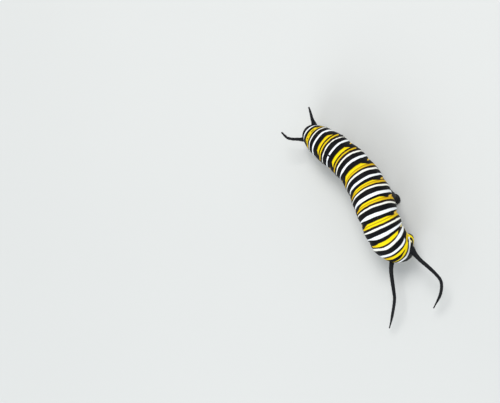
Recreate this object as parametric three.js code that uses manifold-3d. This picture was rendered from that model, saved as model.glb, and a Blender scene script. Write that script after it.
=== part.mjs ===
// Full-grown monarch larva at life size, walking, with its front end arched down.
// Millimetres, +Z up, floor at z = 0. The head points to -Y and the larva's left is +X.
import * as THREE from 'three';
import { mergeVertices } from 'three/addons/utils/BufferGeometryUtils.js';
import loadManifold from 'manifold-3d';

const manifold = await loadManifold();
manifold.setup();

// Body segments from the neck to the tail: length along the middle line, heading and
// downward slope of that length in degrees, and half width at the segment's front edge
const segments = [
  { name: 'thorax_1', length: 1.25, heading: -4, slope: -100, halfWidth: 1.45 },
  { name: 'thorax_2', length: 2.5, heading: -5, slope: -55, halfWidth: 1.56 },
  { name: 'thorax_3', length: 2.4, heading: 1.5, slope: -21, halfWidth: 2.66 },
  { name: 'abdomen_1', length: 2.7, heading: 14.5, slope: -8.5, halfWidth: 2.92 },
  { name: 'abdomen_2', length: 2.65, heading: 15.5, slope: 2, halfWidth: 2.97 },
  { name: 'abdomen_3', length: 2.9, heading: 11, slope: 7, halfWidth: 3.11 },
  { name: 'abdomen_4', length: 3.55, heading: 2, slope: 6, halfWidth: 3.02 },
  { name: 'abdomen_5', length: 3.75, heading: -10.5, slope: 5.5, halfWidth: 2.8 },
  { name: 'abdomen_6', length: 3.4, heading: -17, slope: 6.5, halfWidth: 2.69 },
  { name: 'abdomen_7', length: 2.85, heading: -18, slope: 18, halfWidth: 2.57 },
  { name: 'abdomen_8', length: 1.7, heading: -8, slope: 76, halfWidth: 1.93 },
  { name: 'abdomen_9', length: 1.25, heading: -12, slope: 84, halfWidth: 1.36 },
  { name: 'abdomen_10', length: 0.95, heading: -12, slope: 88, halfWidth: 1.18 },
];
const tailHalfWidth = 1;
// Middle of the neck, placed so that the whole larva stands around the origin
const neckPlace = { x: 2.013, y: -9.021, z: 1.98 };
const jointGap = 0.3;

// Cross-section: back and belly heights as shares of the half width, and the fold low on each side
const backHeight = 0.97;
const bellyHeight = 0.9;
const sideFold = { angle: 108, spread: 18, share: 0.035 };
const ringBulge = 0.035;
// The bent front end swells on its left side: place, spread along and around the body, share of the radius
const leftSwell = { station: 1.42, reach: 0.42, angle: 84, fan: 30, share: 0.46 };
// The second thorax ring is rolled to the larva's right, and the roll fades out to both sides of it
const frontRoll = { degrees: 13, neck: 0.2, full: 1.5, back: 4 };

// Head, hung below the neck with its mouth to the rear: half width, heights above and below
// the middle of the face, and depth from the neck to the face
const head = { halfWidth: 1.68, crown: 1.5, mouth: 1.4, depth: 1.56 };

// Horn-like feelers of the back: front pair on the second thorax ring, rear pair on the eighth abdomen ring
const filamentRadius = {
  front: { root: 0.36, middle: 0.26, tip: 0.13 },
  rear: { root: 0.3, middle: 0.25, tip: 0.13 },
};

const segmentCount = segments.length;
const worldUp = new THREE.Vector3(0, 0, 1);
const radians = THREE.MathUtils.degToRad;
const smooth = THREE.MathUtils.smoothstep;

const colours = {
  skin: { color: 0xe8d21c, roughness: 0.6, metalness: 0 },
  shell: { color: 0x17171a, roughness: 0.3, metalness: 0 },
  legs: { color: 0x141416, roughness: 0.4, metalness: 0 },
  feelers: { color: 0x1b1c20, roughness: 0.65, metalness: 0 },
};

function spineKnots() {
  const point = new THREE.Vector3(neckPlace.x, neckPlace.y, neckPlace.z);
  const knots = [point.clone()];
  for (const { length, heading, slope } of segments) {
    const turn = radians(heading);
    const fall = radians(slope);
    const step = new THREE.Vector3(Math.sin(turn) * Math.cos(fall), Math.cos(turn) * Math.cos(fall), -Math.sin(fall));
    point.addScaledVector(step, length);
    knots.push(point.clone());
  }
  return knots;
}

const spine = new THREE.CatmullRomCurve3(spineKnots(), false, 'catmullrom', 0.5);
const halfWidths = new THREE.SplineCurve(
  [...segments.map(({ halfWidth }) => halfWidth), tailHalfWidth].map((width, i) => new THREE.Vector2(i, width)),
);

// The larva's left, from the heading of the body there, which also holds where the body hangs straight down
function leftAt(station) {
  const place = THREE.MathUtils.clamp(station - 0.5, 0, segmentCount - 1);
  const index = Math.min(Math.floor(place), segmentCount - 2);
  const turn = radians(THREE.MathUtils.lerp(segments[index].heading, segments[index + 1].heading, place - index));
  return new THREE.Vector3(Math.cos(turn), -Math.sin(turn), 0);
}

// Station counts segments from the neck: 0 at the neck, 1 behind thorax_1, and so on to the tail
function ringFrame(station) {
  const share = THREE.MathUtils.clamp(station / segmentCount, 0, 1);
  const centre = spine.getPoint(share);
  const tailward = spine.getTangent(share);
  const left = leftAt(station);
  left.addScaledVector(tailward, -left.dot(tailward)).normalize();
  const up = new THREE.Vector3().crossVectors(left, tailward);
  const { degrees, neck, full, back } = frontRoll;
  const roll = radians(degrees) * smooth(station, neck, full) * (1 - smooth(station, full, back));
  left.applyAxisAngle(tailward, roll);
  up.applyAxisAngle(tailward, roll);
  return { centre, tailward, left, up };
}

function ringRadius(station, angle) {
  const share = THREE.MathUtils.clamp(station / segmentCount, 0, 1);
  const phase = station - Math.floor(station);
  const away = (Math.abs(angle) - radians(sideFold.angle)) / radians(sideFold.spread);
  const fold = 1 + sideFold.share * Math.exp(-away * away);
  const along = (station - leftSwell.station) / leftSwell.reach;
  const around = (THREE.MathUtils.radToDeg(angle) - leftSwell.angle) / leftSwell.fan;
  const swell = 1 + leftSwell.share * Math.exp(-(along * along) - around * around);
  return halfWidths.getPoint(share).y * fold * swell * (1 + ringBulge * Math.sin(Math.PI * phase));
}

// Point on the skin: angle 0 is the middle of the back, +90 degrees is the larva's left side
function skinPoint(station, angle, outward = 0, share = 1) {
  const { centre, left, up } = ringFrame(station);
  const around = Math.atan2(Math.sin(angle), Math.cos(angle));
  const radius = ringRadius(station, around) * share + outward;
  const height = Math.cos(around) > 0 ? backHeight : bellyHeight;
  return centre
    .addScaledVector(left, radius * Math.sin(around))
    .addScaledVector(up, radius * height * Math.cos(around));
}

function signedVolume(geometry) {
  const { position } = geometry.attributes;
  const corners = [new THREE.Vector3(), new THREE.Vector3(), new THREE.Vector3()];
  let volume = 0;
  for (let i = 0; i < geometry.index.count; i += 3) {
    corners.forEach((corner, k) => corner.fromBufferAttribute(position, geometry.index.getX(i + k)));
    volume += corners[0].dot(corners[1].clone().cross(corners[2])) / 6;
  }
  return volume;
}

// Welds a closed shape and turns it right side out
function weld(geometry) {
  geometry.deleteAttribute('normal');
  geometry.deleteAttribute('uv');
  const welded = mergeVertices(geometry, 1e-4);
  if (signedVolume(welded) < 0) {
    welded.setIndex([...welded.index.array].reverse());
  }
  return welded;
}

// Closed tube of many sides whose points are laid out by place(angle, along, share):
// along runs from 0 to 1 and share is 1 on the wall and 0 in the middle of an end
function layTube(sides, lengths, place) {
  const tube = new THREE.CylinderGeometry(1, 1, 1, sides, lengths);
  const { position } = tube.attributes;
  for (let i = 0; i < position.count; i += 1) {
    const x = position.getX(i);
    const z = position.getZ(i);
    const point = place(Math.atan2(x, z), 0.5 - position.getY(i), Math.hypot(x, z));
    position.setXYZ(i, point.x, point.y, point.z);
  }
  return weld(tube);
}

// Tapered tube along a curve, square to it at both ends
function taperedTube(curve, radiusAt, sides, lengths) {
  return layTube(sides, lengths, (angle, along, share) => {
    const tangent = curve.getTangent(along);
    const side = new THREE.Vector3().crossVectors(tangent, worldUp).normalize();
    const over = new THREE.Vector3().crossVectors(side, tangent);
    const radius = radiusAt(along) * share;
    return curve.getPoint(along)
      .addScaledVector(side, radius * Math.sin(angle))
      .addScaledVector(over, radius * Math.cos(angle));
  });
}

// Value between evenly spaced stops, eased from one to the next
function stops(values, along) {
  const place = along * (values.length - 1);
  const index = Math.min(Math.floor(place), values.length - 2);
  return THREE.MathUtils.lerp(values[index], values[index + 1], smooth(place - index, 0, 1));
}

function toManifold(geometry) {
  return new manifold.Manifold(new manifold.Mesh({
    numProp: 3,
    vertProperties: new Float32Array(geometry.attributes.position.array),
    triVerts: new Uint32Array(geometry.index.array),
  }));
}

// One closed body from pieces that run into each other
function fuse(geometries) {
  const whole = geometries.map(toManifold).reduce((sum, piece) => sum.add(piece));
  const largest = whole.decompose().sort((a, b) => b.volume() - a.volume())[0];
  const mesh = largest.getMesh();
  const fused = new THREE.BufferGeometry();
  fused.setAttribute('position', new THREE.BufferAttribute(new Float32Array(mesh.vertProperties), 3));
  fused.setIndex([...mesh.triVerts]);
  return fused;
}

const group = new THREE.Group();

function addPart(name, geometry, look) {
  geometry.computeVertexNormals();
  const mesh = new THREE.Mesh(geometry, new THREE.MeshStandardMaterial(colours[look]));
  mesh.name = name;
  group.add(mesh);
  return mesh;
}

// Body rings, each one closed solid with half the joint gap at both ends
const ringSides = 28;
const ringLengths = 6;

function bodyRing(index) {
  const { length } = segments[index];
  const halfGap = jointGap / length / 2;
  const isTail = index === segmentCount - 1;
  return layTube(ringSides, isTail ? ringLengths + 2 : ringLengths, (angle, along, share) => {
    const station = index + halfGap + along * (1 - (isTail ? halfGap : 2 * halfGap));
    const domed = isTail ? Math.sqrt(1 - 0.86 * smooth(along, 0.3, 1) ** 2) : 1;
    return skinPoint(station, angle, 0, share * domed);
  });
}

segments.forEach(({ name }, index) => addPart(name, bodyRing(index), 'skin'));

// Head, in its own axes: x to the larva's left, y out of the face, z to the crown
const neck = ringFrame(0);
const faceward = neck.tailward.clone().negate();
const headGroup = new THREE.Group();
headGroup.matrixAutoUpdate = false;
headGroup.matrix.makeBasis(neck.left, faceward, neck.up);
headGroup.matrix.setPosition(neck.centre.clone().addScaledVector(faceward, jointGap));
group.add(headGroup);

function headShell() {
  const shell = new THREE.SphereGeometry(1, 26, 18);
  const { position } = shell.attributes;
  for (let i = 0; i < position.count; i += 1) {
    const point = new THREE.Vector3().fromBufferAttribute(position, i);
    const crown = Math.max(point.z, 0);
    const cleft = 1 - 0.1 * crown * Math.exp(-((point.x / 0.16) ** 2));
    const cheek = 1 - 0.16 * Math.max(-point.z, 0) ** 2;
    const x = head.halfWidth * point.x * cheek;
    const y = head.depth * (0.3 + 0.7 * point.y) * (point.y > 0 ? cleft : 1);
    const z = (point.z > 0 ? head.crown : head.mouth) * point.z * cleft;
    position.setXYZ(i, x, Math.max(y, 0), z);
  }
  return weld(shell);
}

function placedSphere(radii, centre, sides = 10) {
  const ball = new THREE.SphereGeometry(1, sides, Math.ceil(sides * 0.7));
  ball.scale(...radii);
  ball.translate(...centre);
  return weld(ball);
}

// Upper lip, jaws, lower lip with its silk nozzle, and six small eyes on each cheek
function headPieces() {
  const mouthY = head.depth * 0.62;
  const pieces = [headShell()];
  pieces.push(placedSphere([0.46, 0.26, 0.2], [0, mouthY + 0.24, -head.mouth + 0.08]));
  pieces.push(placedSphere([0.5, 0.3, 0.26], [0, mouthY - 0.42, -head.mouth + 0.02]));
  const nozzle = new THREE.ConeGeometry(0.12, 0.42, 8);
  nozzle.rotateX(-Math.PI / 2);
  nozzle.translate(0, mouthY - 0.44, -head.mouth - 0.32);
  pieces.push(weld(nozzle));
  for (const side of [-1, 1]) {
    pieces.push(placedSphere([0.34, 0.34, 0.3], [side * 0.36, mouthY, -head.mouth - 0.02]));
    for (let eye = 0; eye < 6; eye += 1) {
      const turn = radians(-100 + eye * 46);
      const x = side * (1.18 - 0.06 * Math.cos(turn));
      const z = -0.78 + 0.27 * Math.sin(turn) * (eye < 5 ? 1 : 0.4);
      const y = eye < 5 ? 0.92 + 0.27 * Math.cos(turn) : 0.95;
      pieces.push(placedSphere([0.13, 0.13, 0.11], [x, y, z], 7));
    }
  }
  return pieces;
}

const headMesh = addPart('head', fuse(headPieces()), 'shell');
headGroup.add(headMesh);

// Short feelers beside the jaws, of three joints
for (const [side, label] of [[1, 'left'], [-1, 'right']]) {
  const root = new THREE.Vector3(side * 1.06, 0.86, -1.52);
  const reach = new THREE.Vector3(side * 0.4, 0.02, -0.68);
  const line = new THREE.LineCurve3(root, root.clone().add(reach));
  const steps = [0.27, 0.27, 0.25, 0.25, 0.16, 0.08];
  const feeler = taperedTube(line, (along) => stops(steps, along), 8, 8);
  headGroup.add(addPart(`antenna_${label}`, feeler, 'legs'));
}

// Leg between the belly and the floor: its root follows the skin at the joint gap, and its
// rings lie level further down, so that the foot stands on a small flat at z = 0
function limb({ station, angle, rootAlong, rootAround, foot, bow, radii, sides, lengths }) {
  const root = skinPoint(station, angle, jointGap);
  const line = new THREE.QuadraticBezierCurve3(
    root,
    new THREE.Vector3().lerpVectors(root, foot, 0.5).add(bow),
    foot,
  );
  return layTube(sides, lengths, (turn, along, share) => {
    const rootPoint = skinPoint(
      station + (rootAlong * share * Math.cos(turn)),
      angle + (rootAround * share * Math.sin(turn)),
      jointGap,
    );
    const radius = stops(radii, along) * share;
    const levelPoint = line.getPoint(along).add(
      new THREE.Vector3(-radius * Math.sin(turn), radius * Math.cos(turn), 0),
    );
    return rootPoint.lerp(levelPoint, smooth(along, 0, 0.36));
  });
}

// True legs of the three thorax rings: root station and angle, foot place from the ring's centre,
// and how high the foot is held. The front pair stands on the floor beside the mouth.
const trueLegs = [
  { ring: 1, station: 0.26, angle: 124, out: 2.4, back: 1.8, lift: 0, bow: [0.55, 0.35], girth: 0.7 },
  { ring: 2, station: 1.55, angle: 144, out: 2.15, back: 1.9, lift: 0.7, bow: [0.35, 0.1], girth: 0.95 },
  { ring: 3, station: 2.5, angle: 144, out: 2.35, back: 1.2, lift: 1.1, bow: [0.35, 0.1], girth: 1 },
];
for (const { ring, station, angle, out, back, lift, bow, girth } of trueLegs) {
  const centre = ringFrame(station).centre;
  for (const [side, label] of [[1, 'left'], [-1, 'right']]) {
    const leg = limb({
      station,
      angle: side * radians(angle),
      rootAlong: 0.17 * girth,
      rootAround: radians(14),
      foot: new THREE.Vector3(centre.x + side * out, centre.y + back, lift),
      bow: new THREE.Vector3(side * bow[0], bow[1], 0),
      radii: [0.5, 0.44, 0.34, 0.38, 0.28, 0.32, 0.26, 0.25, 0.14].map((radius) => radius * girth),
      sides: 8,
      lengths: 12,
    });
    addPart(`leg_thorax_${ring}_${label}`, leg, 'legs');
  }
}

// Prolegs: four pairs below the abdomen and the clasping pair at the tail.
// The left one of abdomen_3 is stepping forward.
const prolegs = [
  { ring: 'abdomen_3', station: 5.5, angle: 146, left: [2.2, -1.9], right: [1.55, 0.1] },
  { ring: 'abdomen_4', station: 6.5, angle: 146, left: [1.55, -0.15], right: [1.5, 0.1] },
  { ring: 'abdomen_5', station: 7.5, angle: 146, left: [1.45, 0], right: [1.45, -0.05] },
  { ring: 'abdomen_6', station: 8.5, angle: 146, left: [1.35, -0.05], right: [1.4, 0.05] },
];
for (const { ring, station, angle, left, right } of prolegs) {
  const centre = ringFrame(station).centre;
  for (const [side, label, [out, back]] of [[1, 'left', left], [-1, 'right', right]]) {
    const leg = limb({
      station,
      angle: side * radians(angle),
      rootAlong: 0.36,
      rootAround: radians(22),
      foot: new THREE.Vector3(centre.x + side * out, centre.y + back, 0),
      bow: new THREE.Vector3(side * 0.1, 0, 0),
      radii: [1.25, 1.2, 1.05, 0.88, 0.76, 0.86, 0.7],
      sides: 14,
      lengths: 8,
    });
    addPart(`proleg_${ring}_${label}`, leg, 'legs');
  }
}
for (const [side, label] of [[1, 'left'], [-1, 'right']]) {
  const centre = ringFrame(12.4).centre;
  const clasper = limb({
    station: 12.42,
    angle: side * radians(126),
    rootAlong: 0.32,
    rootAround: radians(24),
    foot: new THREE.Vector3(centre.x + side * 1.2, centre.y - 0.75, 0),
    bow: new THREE.Vector3(side * 0.15, -0.1, 0),
    radii: [0.7, 0.66, 0.62, 0.6, 0.68, 0.6],
    sides: 12,
    lengths: 6,
  });
  addPart(`proleg_abdomen_10_${label}`, clasper, 'legs');
}

// Back feelers: root on the skin, then the way points of the bend from the root
const filaments = [
  { name: 'filament_front_left', pair: 'front', station: 1.35, angle: 30,
    way: [[0.15, -0.9, 0.5], [0.3, -1.9, 0.75], [0.65, -3.35, 0.85], [0.95, -5.05, 0.6],
      [0.9, -6.35, 0.15], [-0.35, -7.75, -0.9], [-2.85, -8.9, -2.3]] },
  { name: 'filament_front_right', pair: 'front', station: 1.52, angle: -76,
    way: [[-0.6, -0.8, 0.3], [-1.2, -1.9, 0.5], [-2.35, -3.95, 0.2],
      [-2.9, -4.75, -0.15], [-5.5, -6.9, -1.9], [-6.8, -7.8, -2.7]] },
  { name: 'filament_rear_left', pair: 'rear', station: 10.12, angle: 50,
    way: [[0.2, 0.45, 0.4], [0.6, 1.1, 1],
      [0.9, 1.65, 1.4], [1.1, 2.1, 1.65]] },
  { name: 'filament_rear_right', pair: 'rear', station: 10.12, angle: -56,
    way: [[-0.4, 0.3, 0.3], [-1.05, 0.8, 0.55], [-1.6, 1.45, 0.8],
      [-1.7, 1.95, 0.95], [-1.8, 2.7, 1.15]] },
];
for (const { name, pair, station, angle, way } of filaments) {
  const turn = radians(angle);
  const root = skinPoint(station, turn, jointGap);
  const outward = root.clone().sub(skinPoint(station, turn, 0)).normalize();
  const near = root.clone().addScaledVector(outward, 0.35);
  const points = way.map((step) => new THREE.Vector3(...step).add(root));
  const line = new THREE.CatmullRomCurve3([root, near, ...points], false, 'centripetal');
  const { root: rootRadius, middle, tip } = filamentRadius[pair];
  const radiusAt = (along) => (
    stops([rootRadius, 0.5 * (rootRadius + middle), middle, middle * 0.95, tip], along)
    + 0.16 * Math.exp(-along / 0.04)
  );
  addPart(name, taperedTube(line, radiusAt, 10, 18), 'feelers');
}

export default group;
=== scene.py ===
import math
import bpy
import numpy as np
from mathutils import Matrix, Vector


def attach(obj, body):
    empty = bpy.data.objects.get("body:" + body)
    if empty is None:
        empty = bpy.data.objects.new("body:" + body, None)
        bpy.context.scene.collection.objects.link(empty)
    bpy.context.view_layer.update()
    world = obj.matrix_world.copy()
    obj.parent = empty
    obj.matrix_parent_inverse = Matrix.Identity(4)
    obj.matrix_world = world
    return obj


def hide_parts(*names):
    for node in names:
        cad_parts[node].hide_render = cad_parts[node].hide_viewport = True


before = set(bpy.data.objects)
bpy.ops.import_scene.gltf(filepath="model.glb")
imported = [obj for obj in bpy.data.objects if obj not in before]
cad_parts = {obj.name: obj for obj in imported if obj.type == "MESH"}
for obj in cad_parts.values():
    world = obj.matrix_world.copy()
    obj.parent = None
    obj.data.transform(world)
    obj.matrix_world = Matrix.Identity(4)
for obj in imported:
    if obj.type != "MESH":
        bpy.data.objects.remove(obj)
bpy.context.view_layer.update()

mm = 0.001

# the larva's middle line, as in the solids: length mm, heading, downward slope, half width mm
body = {
    "segments": [
        (1.25, -4, -100, 1.45), (2.5, -5, -55, 1.56), (2.4, 1.5, -21, 2.66), (2.7, 14.5, -8.5, 2.92),
        (2.65, 15.5, 2, 2.97), (2.9, 11, 7, 3.11), (3.55, 2, 6, 3.02), (3.75, -10.5, 5.5, 2.8),
        (3.4, -17, 6.5, 2.69), (2.85, -18, 18, 2.57), (1.7, -8, 76, 1.93), (1.25, -12, 84, 1.36),
        (0.95, -12, 88, 1.18),
    ],
    "tailHalfWidth": 1.0,
    "neck": (2.013, -9.021, 1.98),
    "backHeight": 0.97,
    "bellyHeight": 0.9,
    "foldAngle": 108, "foldSpread": 18, "foldShare": 0.035,
    "ringBulge": 0.035,
    # the bent front end swells on its left: place, spread along and around the body, share of the radius
    "leftSwell": (1.42, 0.42, 84, 30, 0.46),
    # and is a little flatter in front, above the head
    "frontFlat": (0.7, 0.32, -5, 55, -0.17),
    "roll": 13, "rollNeck": 0.2, "rollFull": 1.5, "rollBack": 4,
}
ringNames = ["thorax_1", "thorax_2", "thorax_3"] + [f"abdomen_{n}" for n in range(1, 11)]
lastStation = len(body["segments"])


def spineKnots():
    point = np.array(body["neck"])
    knots = [point]
    for length, heading, slope, _ in body["segments"]:
        turn, fall = math.radians(heading), math.radians(slope)
        step = (math.sin(turn) * math.cos(fall), math.cos(turn) * math.cos(fall), -math.sin(fall))
        point = point + length * np.array(step)
        knots.append(point)
    return np.array(knots) * mm


knots = spineKnots()
halfWidths = np.array([[row[3]] for row in body["segments"]] + [[body["tailHalfWidth"]]]) * mm


def ease(value, low, high):
    share = min(max((value - low) / (high - low), 0), 1)
    return share * share * (3 - 2 * share)


def alongKnots(points, station):  # point and tangent of the smooth line through evenly counted knots
    last = len(points) - 1
    at = min(max(station, 0), last)
    i = min(int(at), last - 1)
    w = at - i
    before = points[i - 1] if i > 0 else 2 * points[0] - points[1]
    after = points[i + 2] if i + 2 <= last else 2 * points[last] - points[last - 1]
    here, there = points[i], points[i + 1]
    v0, v1 = (there - before) / 2, (after - here) / 2
    cubic = 2 * here - 2 * there + v0 + v1
    square = -3 * here + 3 * there - 2 * v0 - v1
    return cubic * w**3 + square * w**2 + v0 * w + here, 3 * cubic * w**2 + 2 * square * w + v0


def ringFrame(station):
    centre, tailward = alongKnots(knots, station)
    tailward = Vector(tailward).normalized()
    place = min(max(station - 0.5, 0), lastStation - 1)
    i = min(int(place), lastStation - 2)
    headings = [row[1] for row in body["segments"]]
    turn = math.radians(headings[i] + (headings[i + 1] - headings[i]) * (place - i))
    left = Vector((math.cos(turn), -math.sin(turn), 0))
    left = (left - tailward * left.dot(tailward)).normalized()
    up = left.cross(tailward)
    roll = math.radians(body["roll"]) * ease(station, body["rollNeck"], body["rollFull"])
    roll *= 1 - ease(station, body["rollFull"], body["rollBack"])
    spin = Matrix.Rotation(roll, 3, tailward)
    return Vector(centre), tailward, spin @ left, spin @ up


# skin relief laid over the plain rings
relief = {
    "crease": 0.13, "creaseWidth": 0.045,     # fold between two rings, depth mm and width in ring lengths
    "minor": 0.035, "minorWidth": 0.035,      # shallow folds inside a ring
    "minorPlaces": (0.21, 0.45, 0.62, 0.88),
    "sideLobe": 0.14, "sideLobeAngle": 112, "sideLobeSpread": 11,     # swelling above the legs
    "fullWidth": 2.4,                         # half width mm from which the relief has its full depth
}


def skinRadius(station, angle, fine=True):
    width = float(alongKnots(halfWidths, station)[0][0])
    phase = station - math.floor(station)
    turn = abs(math.degrees(angle))
    fold = 1 + body["foldShare"] * math.exp(-((turn - body["foldAngle"]) / body["foldSpread"])**2)
    swell = 1
    for place, reach, middle, fan, share in (body["leftSwell"], body["frontFlat"]):
        along, across = (station - place) / reach, (math.degrees(angle) - middle) / fan
        swell += share * math.exp(-along**2 - across**2)
    radius = width * fold * swell * (1 + body["ringBulge"] * math.sin(math.pi * phase))
    if not fine:
        return radius
    nearest = abs(phase - round(phase))
    depth = 0.0
    if 0.5 < station < lastStation - 0.5:
        depth += relief["crease"] * math.exp(-(nearest / relief["creaseWidth"])**2)
    for place in relief["minorPlaces"]:
        depth += relief["minor"] * math.exp(-((phase - place) / relief["minorWidth"])**2)
    side = math.exp(-((turn - relief["sideLobeAngle"]) / relief["sideLobeSpread"])**2)
    depth -= relief["sideLobe"] * side * math.sin(math.pi * phase)**2
    ends = ease(station, 0, 0.4) * (1 - ease(station, lastStation - 1, lastStation))
    return radius - depth * mm * ends * min(width / (relief["fullWidth"] * mm), 1)


def onRing(ring, radius, angle):
    centre, _, left, up = ring
    height = body["backHeight"] if math.cos(angle) > 0 else body["bellyHeight"]
    return centre + left * (radius * math.sin(angle)) + up * (radius * height * math.cos(angle))


def skinPoint(station, angle, outward=0.0, fine=False):
    around = math.atan2(math.sin(angle), math.cos(angle))
    return onRing(ringFrame(station), skinRadius(station, around, fine) + outward, around)


# mesh helpers
def deselectAll():
    if bpy.context.object and bpy.context.object.mode != "OBJECT":
        bpy.ops.object.mode_set(mode="OBJECT")
    bpy.ops.object.select_all(action="DESELECT")


def onlyActive(piece):
    deselectAll()
    piece.select_set(True)
    bpy.context.view_layer.objects.active = piece


def tidyMesh(piece, gap=1e-6, sharp=60):
    onlyActive(piece)
    bpy.ops.object.mode_set(mode="EDIT")
    bpy.ops.mesh.select_all(action="SELECT")
    bpy.ops.mesh.remove_doubles(threshold=gap)
    bpy.ops.mesh.dissolve_degenerate(threshold=1e-8)
    bpy.ops.mesh.normals_make_consistent(inside=False)
    bpy.ops.object.mode_set(mode="OBJECT")
    bpy.ops.object.shade_smooth_by_angle(angle=math.radians(sharp))


def wrappedGrid(name, rows, columns, place, bakeMap=None, bandMap=None):
    # a grid plane rolled up: row runs along, column runs once around
    deselectAll()
    bpy.ops.mesh.primitive_grid_add(x_subdivisions=rows, y_subdivisions=columns, size=2)
    piece = bpy.context.object
    piece.name = name
    mesh = piece.data
    mesh.name = name
    flat = np.empty(len(mesh.vertices) * 3)
    mesh.vertices.foreach_get("co", flat)
    flat = flat.reshape(-1, 3)
    row = np.rint((flat[:, 0] + 1) / 2 * rows).astype(int)
    column = np.rint((flat[:, 1] + 1) / 2 * columns).astype(int)
    points = np.empty_like(flat)
    for i in range(len(flat)):
        points[i] = place(row[i], column[i])
    mesh.vertices.foreach_set("co", points.ravel())
    if bakeMap:
        layer = mesh.uv_layers[0]
        layer.name = "OFBake"
        corners = np.empty(len(mesh.loops), dtype=int)
        mesh.loops.foreach_get("vertex_index", corners)
        spots = np.array([bakeMap(r, c) for r, c in zip(row, column)])
        layer.data.foreach_set("uv", spots[corners].ravel())
    if bandMap:
        bands = mesh.attributes.new("bands", "FLOAT", "POINT")
        bands.data.foreach_set("value", [bandMap(r, c) for r, c in zip(row, column)])
    mesh.update()
    return piece


def joined(name, pieces):
    onlyActive(pieces[0])
    for piece in pieces[1:]:
        piece.select_set(True)
    if len(pieces) > 1:
        bpy.ops.object.join()
    whole = bpy.context.object
    whole.name = name
    whole.data.name = name
    return whole


def dress(piece, material, slot, *nodes):
    piece.data.materials.clear()
    piece.data.materials.append(material)
    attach(piece, "root")
    if nodes:
        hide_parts(*nodes)


# shader helpers
class Wire:  # one socket, so that shader maths reads as plain sums
    def __init__(self, finish, socket):
        self.finish, self.socket = finish, socket

    def maths(self, operation, *others):
        return self.finish.add("ShaderNodeMath", {"operation": operation}, [self, *others])

    def __add__(self, other):
        return self.maths("ADD", other)

    def __radd__(self, other):
        return self.maths("ADD", other)

    def __sub__(self, other):
        return self.maths("SUBTRACT", other)

    def __rsub__(self, other):
        return self.finish.add("ShaderNodeMath", {"operation": "SUBTRACT"}, [other, self])

    def __mul__(self, other):
        return self.maths("MULTIPLY", other)

    def __rmul__(self, other):
        return self.maths("MULTIPLY", other)

    def __truediv__(self, other):
        return self.maths("DIVIDE", other)


class Finish:  # one material and its nodes
    def __init__(self, name):
        self.material = bpy.data.materials.new(name)
        self.material.use_nodes = True
        self.tree = self.material.node_tree
        self.shader = self.tree.nodes["Principled BSDF"]

    def add(self, kind, settings=None, inputs=None, output=0):
        node = self.tree.nodes.new(kind)
        for key, value in (settings or {}).items():
            if key == "stops":
                self.setStops(node.color_ramp, value)
            else:
                setattr(node, key, value)
        pairs = enumerate(inputs) if isinstance(inputs, list) else (inputs or {}).items()
        for key, value in pairs:
            self.plug(node.inputs[key], value)
        return Wire(self, node.outputs[output])

    def setStops(self, ramp, stops):
        while len(ramp.elements) > 1:
            ramp.elements.remove(ramp.elements[-1])
        for i, (position, colour) in enumerate(stops):
            element = ramp.elements[0] if i == 0 else ramp.elements.new(position)
            element.position = position
            element.color = (*colour, 1)

    def plug(self, socket, value):
        if isinstance(value, Wire):
            self.tree.links.new(value.socket, socket)
        elif isinstance(value, tuple) and len(value) == 3 and len(socket.default_value) == 4:
            socket.default_value = (*value, 1)
        else:
            socket.default_value = value

    def split(self, vector, axis):
        return self.add("ShaderNodeSeparateXYZ", {}, [vector], axis)

    def step(self, value, low, high):  # a soft step from 0 at low to 1 at high
        return self.add("ShaderNodeMapRange", {"interpolation_type": "SMOOTHSTEP"},
                        {"Value": value, "From Min": low, "From Max": high})

    def between(self, value, low, risen, high, fallen):  # 1 from risen to high, 0 before low and after fallen
        return self.step(value, low, risen) * (1 - self.step(value, high, fallen))

    def blend(self, factor, first, second):  # sockets 6 and 7 are the two colours, and output 2 is the mix
        return self.add("ShaderNodeMix", {"data_type": "RGBA"}, {0: factor, 6: first, 7: second}, 2)

    def noise(self, vector, scale, detail=3, roughness=0.55):
        inputs = {"Vector": vector, "Scale": scale, "Detail": detail, "Roughness": roughness}
        return self.add("ShaderNodeTexNoise", {}, inputs)

    def objectPlace(self):
        return self.add("ShaderNodeTexCoord", {}, None, 3)

    def bumps(self, height, strength, distance):  # distance in mm
        inputs = {"Height": height, "Strength": strength, "Distance": distance * mm}
        self.plug(self.shader.inputs["Normal"], self.add("ShaderNodeBump", {}, inputs))

    def set(self, **values):
        names = {"colour": "Base Color", "roughness": "Roughness", "specular": "Specular IOR Level",
                 "coat": "Coat Weight", "coatRoughness": "Coat Roughness", "sheen": "Sheen Weight",
                 "sheenRoughness": "Sheen Roughness", "sheenTint": "Sheen Tint"}
        for key, value in values.items():
            self.plug(self.shader.inputs[names[key]], value)


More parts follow.
